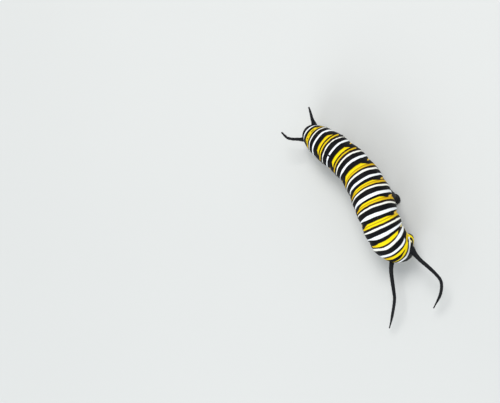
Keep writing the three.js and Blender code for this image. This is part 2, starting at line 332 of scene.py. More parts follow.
# skin
skin = {
    "sides": 128, "ringStep": 0.035,       # points around, and ring lengths from row to row
    # rows that close the two ends: share of the radius, and push along the middle line in mm
    "neckRows": ((0.0, -0.42), (0.62, -0.34), (0.92, -0.14)),
    "tailRows": ((0.8, 0.10), (0.45, 0.17), (0.0, 0.19)),
    "tailRound": 0.86,
    # start and length of the unwrapped skin on its map, along and around
    "mapStart": (0.024, 0.02),
    "mapSpan": (0.952, 0.96),
    # where each ring's white, black, cream, black, yellow, line, yellow, black begin along the middle of the
    # back, in stations from the neck
    "bands": [
        (-0.05, 0.05, 0.2, 0.36, 0.46, 0.60, 0.605, 0.74),
        (1.0, 1.1, 1.44, 1.595, 1.725, 1.835, 1.91, 1.992),
        (2.082, 2.166, 2.386, 2.495, 2.58, 2.665, 2.67, 2.758),
        (2.992, 3.175, 3.425, 3.517, 3.638, 3.735, 3.765, 3.85),
        (4.055, 4.222, 4.516, 4.597, 4.722, 4.81, 4.84, 4.94),
        (5.066, 5.222, 5.522, 5.604, 5.705, 5.79, 5.82, 5.89),
        (6.072, 6.174, 6.443, 6.513, 6.62, 6.672, 6.705, 6.827),
        (7.095, 7.191, 7.421, 7.478, 7.59, 7.655, 7.69, 7.833),
        (8.098, 8.17, 8.436, 8.465, 8.59, 8.66, 8.69, 8.805),
        (9.064, 9.132, 9.375, 9.42, 9.54, 9.60, 9.63, 9.69),
        (9.875, 9.968, 10.30, 10.37, 10.43, 10.53, 10.56, 10.70),
        (10.95, 11.1, 11.3, 11.42, 11.5, 11.62, 11.64, 11.8),
        (12.0, 12.1, 12.3, 12.4, 12.45, 12.55, 12.57, 12.7),
    ],
    # the same starts as shares of one ring's bands, called phase below
    "bandPlaces": (0.0, 0.22, 0.43, 0.58, 0.63, 0.72, 0.75, 0.88),
    # how far the bands lean to the rear away from the middle of the back: station there, then the lean
    # at every 30 degrees from -90 (right side) to 90 (left side)
    "lean": [
        (0.5, 0, 0, 0, 0, 0, 0, 0),
        (1.5, -0.20, -0.10, -0.01, 0, 0.18, 0.40, 0.46),
        (1.8, -0.20, -0.14, -0.06, 0, 0.13, 0.34, 0.38),
        (1.96, -0.09, -0.015, -0.005, 0, 0.05, 0.25, 0.32),
        (2.13, 0.02, 0.035, 0.003, 0, 0.02, 0.17, 0.25),
        (2.42, 0.22, 0.17, 0.013, 0, 0.06, 0.19, 0.38),
        (2.67, 0.20, 0.155, 0.034, 0, 0.058, 0.25, 0.36),
        (3.07, 0.07, 0.065, 0.015, 0, 0.015, 0.08, 0.15),
        (3.47, -0.01, -0.028, -0.027, 0, 0.034, 0.077, 0.12),
        (3.75, -0.03, -0.046, -0.02, 0, 0.045, 0.12, 0.18),
        (4.14, -0.04, -0.032, -0.012, 0, -0.02, 0.01, 0.06),
        (4.55, -0.13, -0.092, -0.052, 0, 0.01, 0.023, 0.0),
        (4.80, -0.19, -0.15, -0.058, 0, 0.036, 0.05, 0.12),
        (5.16, -0.15, -0.106, -0.032, 0, 0.028, 0.043, 0.11),
        (5.56, -0.25, -0.19, -0.075, 0, 0.005, -0.014, 0.02),
        (5.76, -0.25, -0.19, -0.07, 0, 0.01, 0.03, 0.09),
        (6.12, -0.14, -0.087, -0.022, 0, 0.025, 0.02, 0.06),
        (6.48, -0.16, -0.14, -0.035, 0, 0.002, -0.025, 0.0),
        (6.68, -0.18, -0.16, -0.045, 0, 0.006, 0.005, 0.03),
        (7.15, -0.02, -0.032, -0.013, 0, -0.022, -0.05, 0.0),
        (7.45, -0.04, -0.05, -0.006, 0, -0.034, -0.092, -0.07),
        (7.64, -0.04, -0.055, -0.012, 0, -0.02, -0.055, -0.04),
        (8.13, -0.02, -0.042, 0.0, 0, -0.01, -0.04, -0.02),
        (8.45, -0.04, -0.055, -0.024, 0, -0.03, -0.108, -0.12),
        (8.62, -0.04, -0.06, -0.012, 0, -0.03, -0.06, -0.06),
        (9.10, 0.0, -0.02, 0.008, 0, 0.004, -0.04, -0.04),
        (9.52, -0.06, -0.06, -0.02, 0, -0.004, -0.04, -0.06),
        (9.91, 0.02, 0.04, 0.03, 0, -0.02, 0.01, 0.03),
        (10.6, 0, 0, 0, 0, 0, 0, 0),
        (13.0, 0, 0, 0, 0, 0, 0, 0),
    ],
    "white": (0.90, 0.93, 0.95),
    "cream": (0.93, 0.92, 0.84),
    "yellow": (0.93, 0.72, 0.004),
    "gold": (0.66, 0.38, 0.004),
    "orange": (0.83, 0.53, 0.045),
    "line": (0.022, 0.010, 0.004),
    "goldenLine": (0.24, 0.11, 0.003),
    "brown": (0.018, 0.008, 0.004),
    "black": (0.0026, 0.0028, 0.004),
    "belly": (0.016, 0.015, 0.018),
    "paleSpot": (0.90, 0.80, 0.36),
    "streak": (0.88, 0.78, 0.34),
    "edge": 0.012,                         # softness of a band's edge, in phase
    # the fine line in the yellow: middle and half width in phase
    "lineMiddle": 0.735, "lineHalf": 0.022,
    # angles from the middle of the back: where the yellow narrows, where it ends, and where the belly starts
    "yellowNarrows": (31, 61), "yellowEnds": (72, 78), "bellyStarts": (119, 131),
    # the pale line above the legs: angle and half width in degrees
    "ridgeAngle": 114, "ridgeHalf": 3.2,
    # yellow spots at the end of each ring: angle, half height, slant in stations a degree, least half length
    "spots": (86, 20, 0.0043, 0.038),
    # single marks: station, angle, half length and half height
    "palePlace": (3.05, 82, 0.13, 15),
    "nick": (8.14, -23, 0.10, 3.4),
    "bumpDepth": 0.05,
}
whiteStart, whiteEnd, creamStart, creamEnd, yellowStart, _, _, yellowEnd = skin["bandPlaces"]
bandStations = np.array([edge for row in skin["bands"] for edge in row] + [13.0])
bandCounts = np.array([k + place for k in range(lastStation) for place in skin["bandPlaces"]] + [13.0])
leanRows = np.array(skin["lean"])


def ringPlaces():
    count = math.ceil(lastStation / skin["ringStep"])
    return [lastStation * k / count for k in range(count + 1)]


def bandCount(station, angle):
    # the ring and phase of the band that passes here: the lean is smoothed between its columns, and taken off
    # a few times over, because it is listed by the station on the middle of the back
    place = min(max(math.degrees(angle) / 30 + 3, 0), 5.999)
    i, w = int(place), place - int(place)
    near = leanRows[:, [max(i, 1), i + 1, i + 2, min(i + 3, 7)]]
    rise, fall = (near[:, 2] - near[:, 0]) / 2, (near[:, 3] - near[:, 1]) / 2
    leans = (2 * near[:, 1] - 2 * near[:, 2] + rise + fall) * w**3
    leans += (3 * near[:, 2] - 3 * near[:, 1] - 2 * rise - fall) * w**2 + rise * w + near[:, 1]
    middle = station
    for _ in range(4):
        middle = station - np.interp(middle, leanRows[:, 0], leans)
    return float(np.interp(middle, bandStations, bandCounts))


def makeSkin():
    places = ringPlaces()
    stations = [0.0] * 3 + places + [lastStation] * 3
    rows = len(stations) - 1
    sides = skin["sides"]
    rings = [ringFrame(s) for s in stations]

    def turnOf(column):
        return math.pi if column in (0, sides) else -math.pi + 2 * math.pi * column / sides

    def tailShare(station):
        along = station - (lastStation - 1)
        return math.sqrt(max(1 - skin["tailRound"] * ease(along, 0.3, 1)**2, 0)) if along > 0 else 1.0

    def place(row, column):
        station, angle = stations[row], turnOf(column)
        share, push = 1.0, 0.0
        if row < 3:
            share, push = skin["neckRows"][row]
        elif row > rows - 3:
            share, push = skin["tailRows"][row - (rows - 2)]
        radius = skinRadius(station, angle) * share * tailShare(station)
        return onRing(rings[row], radius, angle) + rings[row][1] * (push * mm)

    def bakeMap(row, column):
        beyond = min(row - 3, 0) + max(row - (rows - 3), 0)  # rows past either end
        along = skin["mapStart"][0] + stations[row] / lastStation * skin["mapSpan"][0] + beyond * 0.006
        return along, skin["mapStart"][1] + column / sides * skin["mapSpan"][1]

    def bandMap(row, column):
        return bandCount(stations[row], -math.pi + 2 * math.pi * (column % sides) / sides)

    piece = wrappedGrid("skin", rows, sides, place, bakeMap, bandMap)
    tidyMesh(piece, 1e-7, 80)
    return piece


class SkinPaint(Finish):  # the skin's colours, laid one over another
    def __init__(self):
        super().__init__("bandedSkin")
        spot = self.add("ShaderNodeUVMap", {"uv_map": "OFBake"})
        self.place = self.objectPlace()
        self.station = (self.split(spot, 0) - skin["mapStart"][0]) * (lastStation / skin["mapSpan"][0])
        self.around = (self.split(spot, 1) - 0.5) * (360 / skin["mapSpan"][1])  # degrees, + on the left
        self.turn = self.around.maths("ABSOLUTE")
        self.left = self.step(self.around, 0, 1)
        self.right = self.step(0 - self.around, -4, 22)
        self.count = self.add("ShaderNodeAttribute", {"attribute_name": "bands"}, None, 2)
        # edges wander a little, as drawn by hand
        fine = (self.noise(self.place, 900, 4, 0.6) - 0.5) * 0.035
        coarse = (self.noise(self.place, 260, 2) - 0.5) * 0.03
        self.phase = (self.count + (fine + coarse)).maths("FRACT")
        self.yellowZone = self.step(self.phase, 0.60, 0.61) * self.step(self.count, 2.4, 2.5)

    def paint(self, mask, colour):
        self.colour = self.blend(mask, self.colour, colour)

    def off(self, value, middle):  # distance from a middle, on either side
        return (value - middle).maths("ABSOLUTE")

    def oval(self, along, over):  # 1 inside the unit circle of two shares, with a soft rim
        return 1 - self.step(along * along + over * over, 0.6, 1.3)

    def blot(self, station, angle, reach, fan):
        return self.oval((self.station - station) / reach, (self.around - angle) / fan)

    def bands(self):
        black, white, cream, yellow = (skin[name] for name in ("black", "white", "cream", "yellow"))
        edge = skin["edge"]
        stops = [
            (whiteStart, black), (edge, white), (whiteEnd - edge, white), (whiteEnd + edge, black),
            (creamStart - edge, black), (creamStart + edge, cream), (creamEnd - edge, cream),
            (creamEnd + edge * 0.8, black), (yellowStart - edge * 0.8, black), (yellowStart + edge, yellow),
            (yellowEnd - edge, yellow), (yellowEnd + edge, black), (1.0, black),
        ]
        self.colour = self.add("ShaderNodeValToRGB", {"stops": stops}, [self.phase])

    def golden(self):
        # golden in the front half of the yellow on the middle rings, at its rear edge and low on the sides
        zone = self.step(self.phase, yellowStart - 0.005, yellowStart + 0.015)
        zone = zone * (1 - self.step(self.phase, yellowEnd - 0.01, yellowEnd + 0.01))
        front = (1 - self.step(self.phase, 0.72, 0.77)) * self.between(self.station, 3.9, 4.4, 7.6, 8.4)
        cloud = self.noise(self.place, 420, 3) - 0.42
        rim = self.step(self.phase, 0.835, 0.87) * self.step(self.turn, 18, 50)
        share = front * 0.5 + cloud * 0.6 + self.step(self.turn, 30, 62) * 0.45 + rim * 0.6
        share = (share + self.step(self.station, 6.9, 9.6) * 0.28).maths("MAXIMUM", 0)
        self.paint(zone * share.maths("MINIMUM", 0.85), skin["gold"])

    def brokenLine(self):
        # golden brown in front, nearly black from the fifth abdomen ring on, and only dashes on the seventh
        dark = self.step(self.station, 6.9, 7.2)
        sparse = self.step(self.station, 8.9, 9.1)
        dashes = self.step(self.noise(self.place, 1900, 2), 0.30 + sparse * 0.11, 0.45 + sparse * 0.06)
        dashes = dashes * (0.3 + sparse * 0.7) + 0.7 - sparse * 0.7
        share = (dark * 0.4 + 0.6) * self.step(self.station, 3.0, 3.5)
        half = skin["lineHalf"] + dark * 0.008
        line = 1 - self.step(self.off(self.phase, skin["lineMiddle"]), half, half + 0.016)
        self.paint(line * dashes * share, self.blend(dark, skin["goldenLine"], skin["line"]))
        # the gap between the cream and the yellow is brown
        self.paint(self.between(self.phase, 0.575, 0.59, 0.62, 0.635), skin["brown"])

    def secondThorax(self):
        # black in front, its pale band is white, and black parts its two yellow bands, wider on the right
        pale = self.between(self.phase, 0.425, 0.435, 0.575, 0.585)
        self.paint(pale * (1 - self.step(self.count, 1.9, 2.0)), skin["white"])
        self.paint(self.between(self.count, 0.28, 0.32, 1.39, 1.42), skin["black"])
        half = 0.012 + self.right * 0.024
        away = self.off(self.phase + self.right * 0.012, skin["lineMiddle"])
        parted = (1 - self.step(away, half, half + 0.008)) * self.between(self.count, 1.5, 1.6, 1.95, 2.0)
        self.paint(parted * (1 - self.step(self.around, 8, 20)), skin["black"])

    def yellowEnds(self):
        # low on the sides the yellow narrows from the rear and then ends, earlier on the right of some rings
        side = self.turn + self.right * (self.between(self.station, 4.2, 4.6, 5.9, 6.5) * 8 + 1)
        low = self.step(side, *skin["yellowNarrows"])
        edge = 0.865 - low * 0.145
        taper = self.step(self.phase, edge, edge + 0.02) * (1 - self.step(self.phase, 0.93, 0.96))
        self.paint(taper * self.step(low, 0.02, 0.15) * self.step(self.count, 2.4, 2.5), skin["black"])
        point = self.off(self.phase, 0.675) * 150
        ended = self.right.maths("MAXIMUM", self.step(self.station, 7.0, 7.1))
        ended = ended * self.step(side + point, *skin["yellowEnds"])
        self.paint(ended * self.yellowZone, skin["black"])

    def rightPinch(self):
        # on the right the white and the cream narrow too, less so on the rear rings
        pinch = self.step(0 - self.around, 18, 62) * self.step(self.station, 2.8, 3.0)
        pinch = pinch * (1 - self.step(self.station, 7.3, 8.1) * 0.55)
        half = 0.108 - pinch * 0.08
        white = self.step(self.off(self.phase, whiteEnd / 2), half, half + 0.024)
        white = white * (1 - self.step(self.phase, 0.24, 0.25))
        half = 0.072 - pinch * 0.026
        cream = self.step(self.off(self.phase, (creamStart + creamEnd) / 2), half, half + 0.02)
        cream = cream * self.between(self.phase, 0.40, 0.41, 0.60, 0.61)
        self.paint(white.maths("MAXIMUM", cream) * self.step(pinch, 0.0, 0.1), skin["black"])

    def thirdThorax(self):
        # on its left the yellow narrows in front, the cream is wide and white, and the first white stops
        cut = self.step(self.around, 30, 54) * 0.22 + 0.61
        wedge = (1 - self.step(self.phase, cut, cut + 0.02)) * (1 - self.step(self.count, 2.95, 3.0))
        self.paint(wedge * self.yellowZone * self.step(self.around, 28, 34), skin["brown"])
        wide = self.step(self.around, 10, 40) * self.between(self.count, 2.0, 2.1, 2.97, 3.0)
        half = 0.063 + wide * 0.028
        broad = 1 - self.step(self.off(self.phase, 0.497), half, half + 0.024)
        self.paint(broad * self.step(wide, 0.0, 0.1), skin["white"])
        hooked = self.step(self.around, 38, 46) * self.between(self.count, 1.97, 2.0, 2.25, 2.28)
        self.paint(hooked, skin["black"])

    def leftFlank(self):
        # second thorax ring: black between the white rim and the yellow line, with a pale streak in it
        flank = self.step(self.around, 46, 50) * self.between(self.station, 0.9, 1.0, 1.88, 1.94)
        self.paint(flank * self.step(self.around - (self.station - 1.55) * 46, 43, 47), skin["black"])
        streak = 1 - self.step(self.off(self.around - (self.station - 1.6) * 8, 55.5), 1.6, 3.2)
        streak = streak * self.between(self.station, 1.62, 1.68, 1.90, 1.96)
        self.paint(streak * self.left, skin["streak"])

    def bellySide(self):
        turn = self.turn + (self.noise(self.place, 500, 3) - 0.5) * 16
        self.paint(self.step(turn, *skin["bellyStarts"]), skin["belly"])

    def ridge(self):
        # the pale line above the legs, which rises on the left of the thorax and widens into a yellow patch
        rise = 57 - ((self.station - 1.19) * 29).maths("MINIMUM", 57)
        patch = self.between(self.station, 1.75, 2.0, 2.25, 2.5) * 6
        patch = patch + (1 - self.step(self.station, 2.0, 2.6)) * 1.2
        wobble = (self.noise(self.place, 450, 3) - 0.5) * 7
        away = self.off(self.turn + self.left * rise + wobble, skin["ridgeAngle"])
        away = away - self.left * patch - skin["ridgeHalf"]
        ridge = (1 - self.step(away, -1.2, 1.2)) * self.between(self.station, 1.1, 1.3, 12.2, 12.6)
        yellowShare = self.noise(self.place, 330, 2) + (1 - self.step(self.station, 2.2, 2.5))
        self.paint(ridge, self.blend(self.step(yellowShare, 0.42, 0.55), skin["cream"], skin["yellow"]))

    def spots(self):
        # slanting yellow spots low on the sides, at the end of each ring, shorter and later towards the rear
        self.paint(self.blot(*skin["palePlace"]), skin["paleSpot"])
        angle, half, slant, least = skin["spots"]
        drift = (self.station - 5.5).maths("MAXIMUM", 0) * 0.025 + 0.03
        reach = (0.135 - self.station * 0.015).maths("MAXIMUM", least)
        along = (self.station + drift + 0.5).maths("FRACT") - 0.5 - (self.turn - angle + 4) * slant
        spots = self.oval(along / reach, (self.turn - angle) / half)
        self.paint(spots * self.between(self.station, 3.3, 3.4, 8.3, 8.4), skin["orange"])
        # one nick in the white of the sixth abdomen ring
        self.paint(self.blot(*skin["nick"]), skin["black"])

    def surface(self):
        across = self.add("ShaderNodeCombineXYZ", {}, [self.station * 9, self.around * 0.02, 0.0])
        folds, grain = self.noise(across, 3.0, 3, 0.5), self.noise(self.place, 2600, 3)
        self.bumps(folds * 0.8 + grain * 0.15, 0.4, skin["bumpDepth"])
        self.set(colour=self.colour, roughness=0.5 + self.noise(self.place, 700, 2) * 0.2, specular=0.1)


def skinFinish():
    coat = SkinPaint()
    layers = [coat.bands, coat.golden, coat.brokenLine, coat.secondThorax, coat.yellowEnds, coat.rightPinch,
              coat.thirdThorax, coat.bellySide, coat.leftFlank, coat.ridge, coat.spots, coat.surface]
    for layer in layers:
        layer()
    return coat.material


skinPiece = makeSkin()
dress(skinPiece, skinFinish(), "skin", *ringNames)
print("skin:", len(skinPiece.data.polygons), "faces")


bothSides = ((1, "left"), (-1, "right"))

# limbs: the root follows the skin and the rings turn level further down, as in the solids
limbs = {
    "rootLift": 0.1,           # start of the middle line over the skin, mm
    "sunk": (0.5, 0.08),       # depth in the skin of the closing row and of the rest of the root, mm
    "soleShare": 0.6,          # radius of the row inside the edge of the sole
    "rootEnds": 0.36,          # share of the length where the rings have turned level
}


def stopsAt(values, along):  # an even row of values, eased from one to the next
    place = along * (len(values) - 1)
    i = min(int(place), len(values) - 2)
    return values[i] + (values[i + 1] - values[i]) * ease(place - i, 0, 1)


def limb(name, spec, foot, side, sides, rows):
    station, turn = spec["station"], side * math.radians(spec["angle"])
    root = skinPoint(station, turn, limbs["rootLift"] * mm)
    bow = Vector((side * spec["bow"][0], spec["bow"][1], 0)) * mm
    control = (root + foot) / 2 + bow

    def place(row, column):
        angle = 2 * math.pi * (column % sides) / sides
        along, share, sunk = (row - 1) / (rows - 3), 1.0, limbs["sunk"][1]
        if row == 0:
            along, sunk = 0.0, limbs["sunk"][0]
        elif row > rows - 2:
            along, share, sunk = 1.0, (limbs["soleShare"], 0.0)[row - (rows - 1)], 0.0
        rootStation = station + spec["rootAlong"] * share * math.cos(angle)
        rootTurn = turn + math.radians(spec["rootAround"]) * share * math.sin(angle)
        rootPoint = skinPoint(rootStation, rootTurn, -sunk * mm)
        radius = (stopsAt(spec["radii"], along) + spec["folds"](along, angle)) * share * mm
        line = root * (1 - along)**2 + control * (2 * along * (1 - along)) + foot * along**2
        level = line + Vector((-radius * math.sin(angle), radius * math.cos(angle), 0))
        return rootPoint.lerp(level, ease(along, 0, limbs["rootEnds"]))

    piece = wrappedGrid(name, rows, sides, place)
    tidyMesh(piece, 1e-6, 70)
    return piece


def limbPair(name, node, spec, sides, rows, material, slot):
    # feet are given as out and back from below the ring's middle, and up from the floor, in mm
    centre = ringFrame(spec.get("under", spec["station"]))[0]
    for side, label in bothSides:
        out, back, up = spec[label]
        foot = Vector((centre.x + side * out * mm, centre.y + back * mm, up * mm))
        dress(limb(f"{name}_{label}", spec, foot, side, sides, rows), material, slot, f"{node}_{label}")


def hornFinish(name, colour, roughness, coat):
    finish = Finish(name)
    place = finish.objectPlace()
    cloud = finish.noise(place, 900, 4)
    paler = tuple(v * 2.2 + 0.004 for v in colour)
    finish.set(colour=finish.blend(cloud * 0.6, colour, paler), roughness=roughness + (cloud - 0.5) * 0.2,
               coat=coat, coatRoughness=0.15, specular=0.5)
    finish.bumps(finish.noise(place, 3000, 3), 0.3, 0.03)
    return finish.material


trueLegs = {
    "colour": (0.005, 0.005, 0.006),
    "radii": [0.62, 0.5, 0.40, 0.44, 0.33, 0.37, 0.28, 0.25, 0.15, 0.07],
    "rootAlong": 0.19, "rootAround": 16,
    # ring, station, angle, foot out, back and up, bow, girth
    "rings": [
        (1, 0.26, 124, (2.4, 1.8, 0.0), (0.55, 0.35), 0.7),
        (2, 1.55, 144, (2.15, 1.9, 0.7), (0.35, 0.1), 0.95),
        (3, 2.5, 144, (2.35, 1.2, 1.1), (0.35, 0.1), 1.0),
    ],
}
legFinish = hornFinish("legHorn", trueLegs["colour"], 0.36, 0.25)
for ring, station, angle, foot, bow, girth in trueLegs["rings"]:
    spec = {"station": station, "angle": angle, "left": foot, "right": foot, "bow": bow,
            "rootAlong": trueLegs["rootAlong"] * girth, "rootAround": trueLegs["rootAround"],
            "radii": [v * girth for v in trueLegs["radii"]], "folds": lambda along, angle: 0.0}
    limbPair(f"leg_{ring}", f"leg_thorax_{ring}", spec, 20, 34, legFinish, "legs")
print("true legs: 6")

prolegs = {
    # patch is the colour of the highlight painted on each proleg
    "colour": (0.0014, 0.0016, 0.002), "paler": (0.009, 0.009, 0.010), "patch": (0.55, 0.53, 0.45),
    "angle": 146, "bow": (0.1, 0), "rootAlong": 0.42, "rootAround": 26,
    "radii": [1.4, 1.25, 1.05, 0.88, 0.76, 0.80, 0.88, 0.74],
    # ring, station, left foot and right foot
    "rings": [
        (3, 5.5, (2.2, -1.9, 0), (1.55, 0.1, 0)),
        (4, 6.5, (1.55, -0.15, 0), (1.5, 0.1, 0)),
        (5, 7.5, (1.45, 0, 0), (1.45, -0.05, 0)),
        (6, 8.5, (1.35, -0.05, 0), (1.4, 0.05, 0)),
    ],
    "claspers": {"station": 12.42, "under": 12.4, "angle": 126, "rootAlong": 0.34, "rootAround": 28,
                 "left": (1.2, -0.75, 0), "right": (1.2, -0.75, 0), "bow": (0.15, -0.1),
                 "radii": [0.78, 0.7, 0.62, 0.6, 0.68, 0.6]},
}


def prolegFinish():
    finish = Finish("prolegSkin")
    place = finish.objectPlace()
    cloud = finish.noise(place, 700, 4)
    # a pale patch on the outside, between two heights over the floor: a painted highlight streak
    patch = finish.between(finish.split(place, 2), 0.0016, 0.0019, 0.0026, 0.0030)
    patch = patch * finish.step(finish.noise(place, 480, 3, 0.5), 0.50, 0.66)
    colour = finish.blend(finish.step(cloud, 0.4, 0.65), prolegs["colour"], prolegs["paler"])
    # the painted highlight, laid over the black skin
    colour = finish.blend(patch * 0.45, colour, prolegs["patch"])
    finish.set(colour=colour, roughness=0.40 + cloud * 0.2, specular=0.14)
    finish.bumps(cloud * 0.6 + finish.noise(place, 3000, 3) * 0.4, 0.5, 0.06)
    return finish.material


def prolegFolds(along, angle):
    rings = 0.05 * math.sin(along * 34) * ease(along, 0.2, 0.35) * (1 - ease(along, 0.7, 0.8))
    return rings + 0.02 * math.sin(angle * 5 + along * 9) * ease(along, 0.2, 0.5)


prolegSkin = prolegFinish()
for ring, station, left, right in prolegs["rings"]:
    spec = dict(prolegs, station=station, left=left, right=right, folds=prolegFolds)
    limbPair(f"proleg_{ring}", f"proleg_abdomen_{ring}", spec, 36, 30, prolegSkin, "prolegs")
spec = dict(prolegs["claspers"], folds=prolegFolds)
limbPair("clasper", "proleg_abdomen_10", spec, 30, 22, prolegSkin, "prolegs")
print("prolegs: 10")

# back feelers
filaments = {
    "rows": 72, "sides": 24,
    "sunk": 0.9,               # length of the root inside the skin, mm
    "colour": (0.0025, 0.003, 0.004), "paler": (0.006, 0.007, 0.009), "sheen": (0.62, 0.72, 0.9),
    # name, station, angle, radii from root to tip, size and reach of the widening at the root,
    # way points from the root
    "lines": [
        ("filament_front_left", 1.35, 30, (0.36, 0.31, 0.26, 0.247, 0.10), (0.22, 0.55),
         [(0.15, -0.9, 0.5), (0.3, -1.9, 0.75), (0.65, -3.35, 0.85), (0.95, -5.05, 0.6), (0.9, -6.35, 0.15),
          (-0.35, -7.75, -0.9), (-2.85, -8.9, -2.3)]),
        ("filament_front_right", 1.52, -76, (0.34, 0.31, 0.26, 0.24, 0.10), (0.04, 0.5),
         [(-0.6, -0.8, 0.3), (-1.2, -1.9, 0.5), (-2.35, -3.95, 0.2), (-2.9, -4.75, -0.15), (-5.5, -6.9, -1.9),
          (-6.8, -7.8, -2.7)]),
        ("filament_rear_left", 10.12, 50, (0.29, 0.25, 0.22, 0.19, 0.12), (0.10, 0.5),
         [(0.2, 0.45, 0.4), (0.6, 1.1, 1), (0.9, 1.65, 1.4), (1.1, 2.1, 1.65)]),
        ("filament_rear_right", 10.12, -56, (0.27, 0.255, 0.24, 0.20, 0.13), (0.045, 0.3),
         [(-0.4, 0.3, 0.3), (-1.05, 0.8, 0.55), (-1.6, 1.45, 0.8), (-1.7, 1.95, 0.95), (-1.8, 2.7, 1.15)]),
    ],
}


def evenLine(points, count):
    # centripetal smooth line, sampled evenly by its length
    points = [2 * points[0] - points[1]] + list(points) + [2 * points[-1] - points[-2]]
    path = []
    for a, b, c, d in zip(points, points[1:], points[2:], points[3:]):
        t1 = (b - a).length**0.5
        t2 = t1 + (c - b).length**0.5
        t3 = t2 + (d - c).length**0.5
        for n in range(24):
            t = t1 + (t2 - t1) * n / 24
            ab, bc, cd = a.lerp(b, t / t1), b.lerp(c, (t - t1) / (t2 - t1)), c.lerp(d, (t - t2) / (t3 - t2))
            path.append(ab.lerp(bc, t / t2).lerp(bc.lerp(cd, (t - t1) / (t3 - t1)), (t - t1) / (t2 - t1)))
    path.append(points[-2])
    path = np.array([tuple(p) for p in path])
    run = np.r_[0, np.cumsum(np.linalg.norm(np.diff(path, axis=0), axis=1))]
    at = np.linspace(0, run[-1], count)
    return [Vector([np.interp(v, run, path[:, axis]) for axis in range(3)]) for v in at]


def tube(name, line, radiusAt, sides):
    rows = len(line) + 1
    last = len(line) - 1
    frames = []
    for i, point in enumerate(line):
        tangent = (line[min(i + 1, last)] - line[max(i - 1, 0)]).normalized()
        side = tangent.cross(Vector((0, 0, 1))).normalized()
        frames.append((point, side, side.cross(tangent), tangent))

    def place(row, column):
        i = min(max(row - 1, 0), last)
        point, side, over, tangent = frames[i]
        angle = 2 * math.pi * (column % sides) / sides
        radius = radiusAt(i / last) if 0 < row <= last + 1 else 0.0
        push = radiusAt(1.0) * 0.6 if row == rows else 0.0
        return point + side * (radius * math.sin(angle)) + over * (radius * math.cos(angle)) + tangent * push

    piece = wrappedGrid(name, rows, sides, place)
    tidyMesh(piece, 1e-7, 70)
    return piece


def feelerFinish():
    finish = Finish("feelerSkin")
    place = finish.objectPlace()
    cloud = finish.noise(place, 1500, 4)
    colour = finish.blend(cloud, filaments["colour"], filaments["paler"])
    finish.set(colour=colour, roughness=0.5 + cloud * 0.2, specular=0.16,
               sheen=0.03, sheenRoughness=0.4, sheenTint=filaments["sheen"])
    finish.bumps(finish.noise(place, 4200, 4, 0.7), 0.5, 0.05)
    return finish.material


def backFeeler(name, station, angle, radii, flare, way):
    turn = math.radians(angle)
    root = skinPoint(station, turn, 0.3 * mm)
    outward = (root - skinPoint(station, turn)).normalized()
    onward = (outward * 0.4 + Vector(way[0]).normalized()).normalized()
    sunk = filaments["sunk"] * mm
    points = [root - onward * sunk] + [root + Vector(step) * mm for step in [(0, 0, 0)] + way]
    line = evenLine(points, filaments["rows"])
    length = sum((b - a).length for a, b in zip(line, line[1:]))
    rooted = sunk / length
    size, reach = flare

    def radiusAt(along):
        shown = max(along - rooted, 0) / (1 - rooted)
        widening = 0.1  # the end inside the skin
        if along > rooted * 0.5:
            widening = size * math.exp((rooted - along) * length / (reach * mm))
        wrinkle = 0.010 * math.sin(along * length / mm * 9)
        return (stopsAt(radii, shown) + widening + wrinkle) * mm

    feeler = tube(name.replace("filament", "feeler"), line, radiusAt, filaments["sides"])
    dress(feeler, feelerSkin, "feelers", name)


feelerSkin = feelerFinish()
for row in filaments["lines"]:
    backFeeler(*row)
print("feelers: 4")

# head: half width, height above and below the middle of the face, depth and gap to the neck, mm
head = {
    "halfWidth": 1.68, "crown": 1.5, "mouth": 1.4, "depth": 1.56, "gap": 0.3,
    "backEdge": -0.42,                     # flat back of the shell, mm
    "forward": 0.3,                        # how far the shell's middle lies forward, share of the depth
    "cheek": 0.16,                         # narrowing towards the mouth
    "clefts": ((0.10, 0.16), (0.05, 0.05)),     # depth and half width of the crown's wide and narrow cleft
    "seamDepth": 0.05, "seamWidth": 0.03,
    "colour": (0.011, 0.011, 0.013), "yellow": (0.86, 0.70, 0.10), "cream": (0.84, 0.82, 0.62),
    # mouth parts: radii, and place from the middle of the mouth, mm
    "mouthForward": 0.62,
    "mouthParts": [
        ("lip", (0.46, 0.26, 0.2), (0, 0.24, 0.08)),
        ("chin", (0.5, 0.3, 0.26), (0, -0.42, 0.02)),
        ("jaw", (0.34, 0.34, 0.3), (-0.36, 0, -0.02)),
        ("jaw", (0.34, 0.34, 0.3), (0.36, 0, -0.02)),
    ],
}
neckCentre, neckTailward, neckLeft, neckUp = ringFrame(0)
faceward = -neckTailward
headAxes = Matrix((neckLeft, faceward, neckUp)).transposed().to_4x4()
headAxes.translation = neckCentre + faceward * head["gap"] * mm


def headPlace(x, y, z):
    return headAxes @ (Vector((x, y, z)) * mm)


def reshape(piece, move):
    for vertex in piece.data.vertices:
        vertex.co = move(vertex.co)
    piece.data.update()


def headBall(name, radii, centre, segments=24, rings=16):
    deselectAll()
    bpy.ops.mesh.primitive_uv_sphere_add(segments=segments, ring_count=rings, radius=1)
    ball = bpy.context.object
    ball.name = name
    reshape(ball, lambda v: headPlace(*(r * c + m for r, c, m in zip(radii, v, centre))))
    return ball


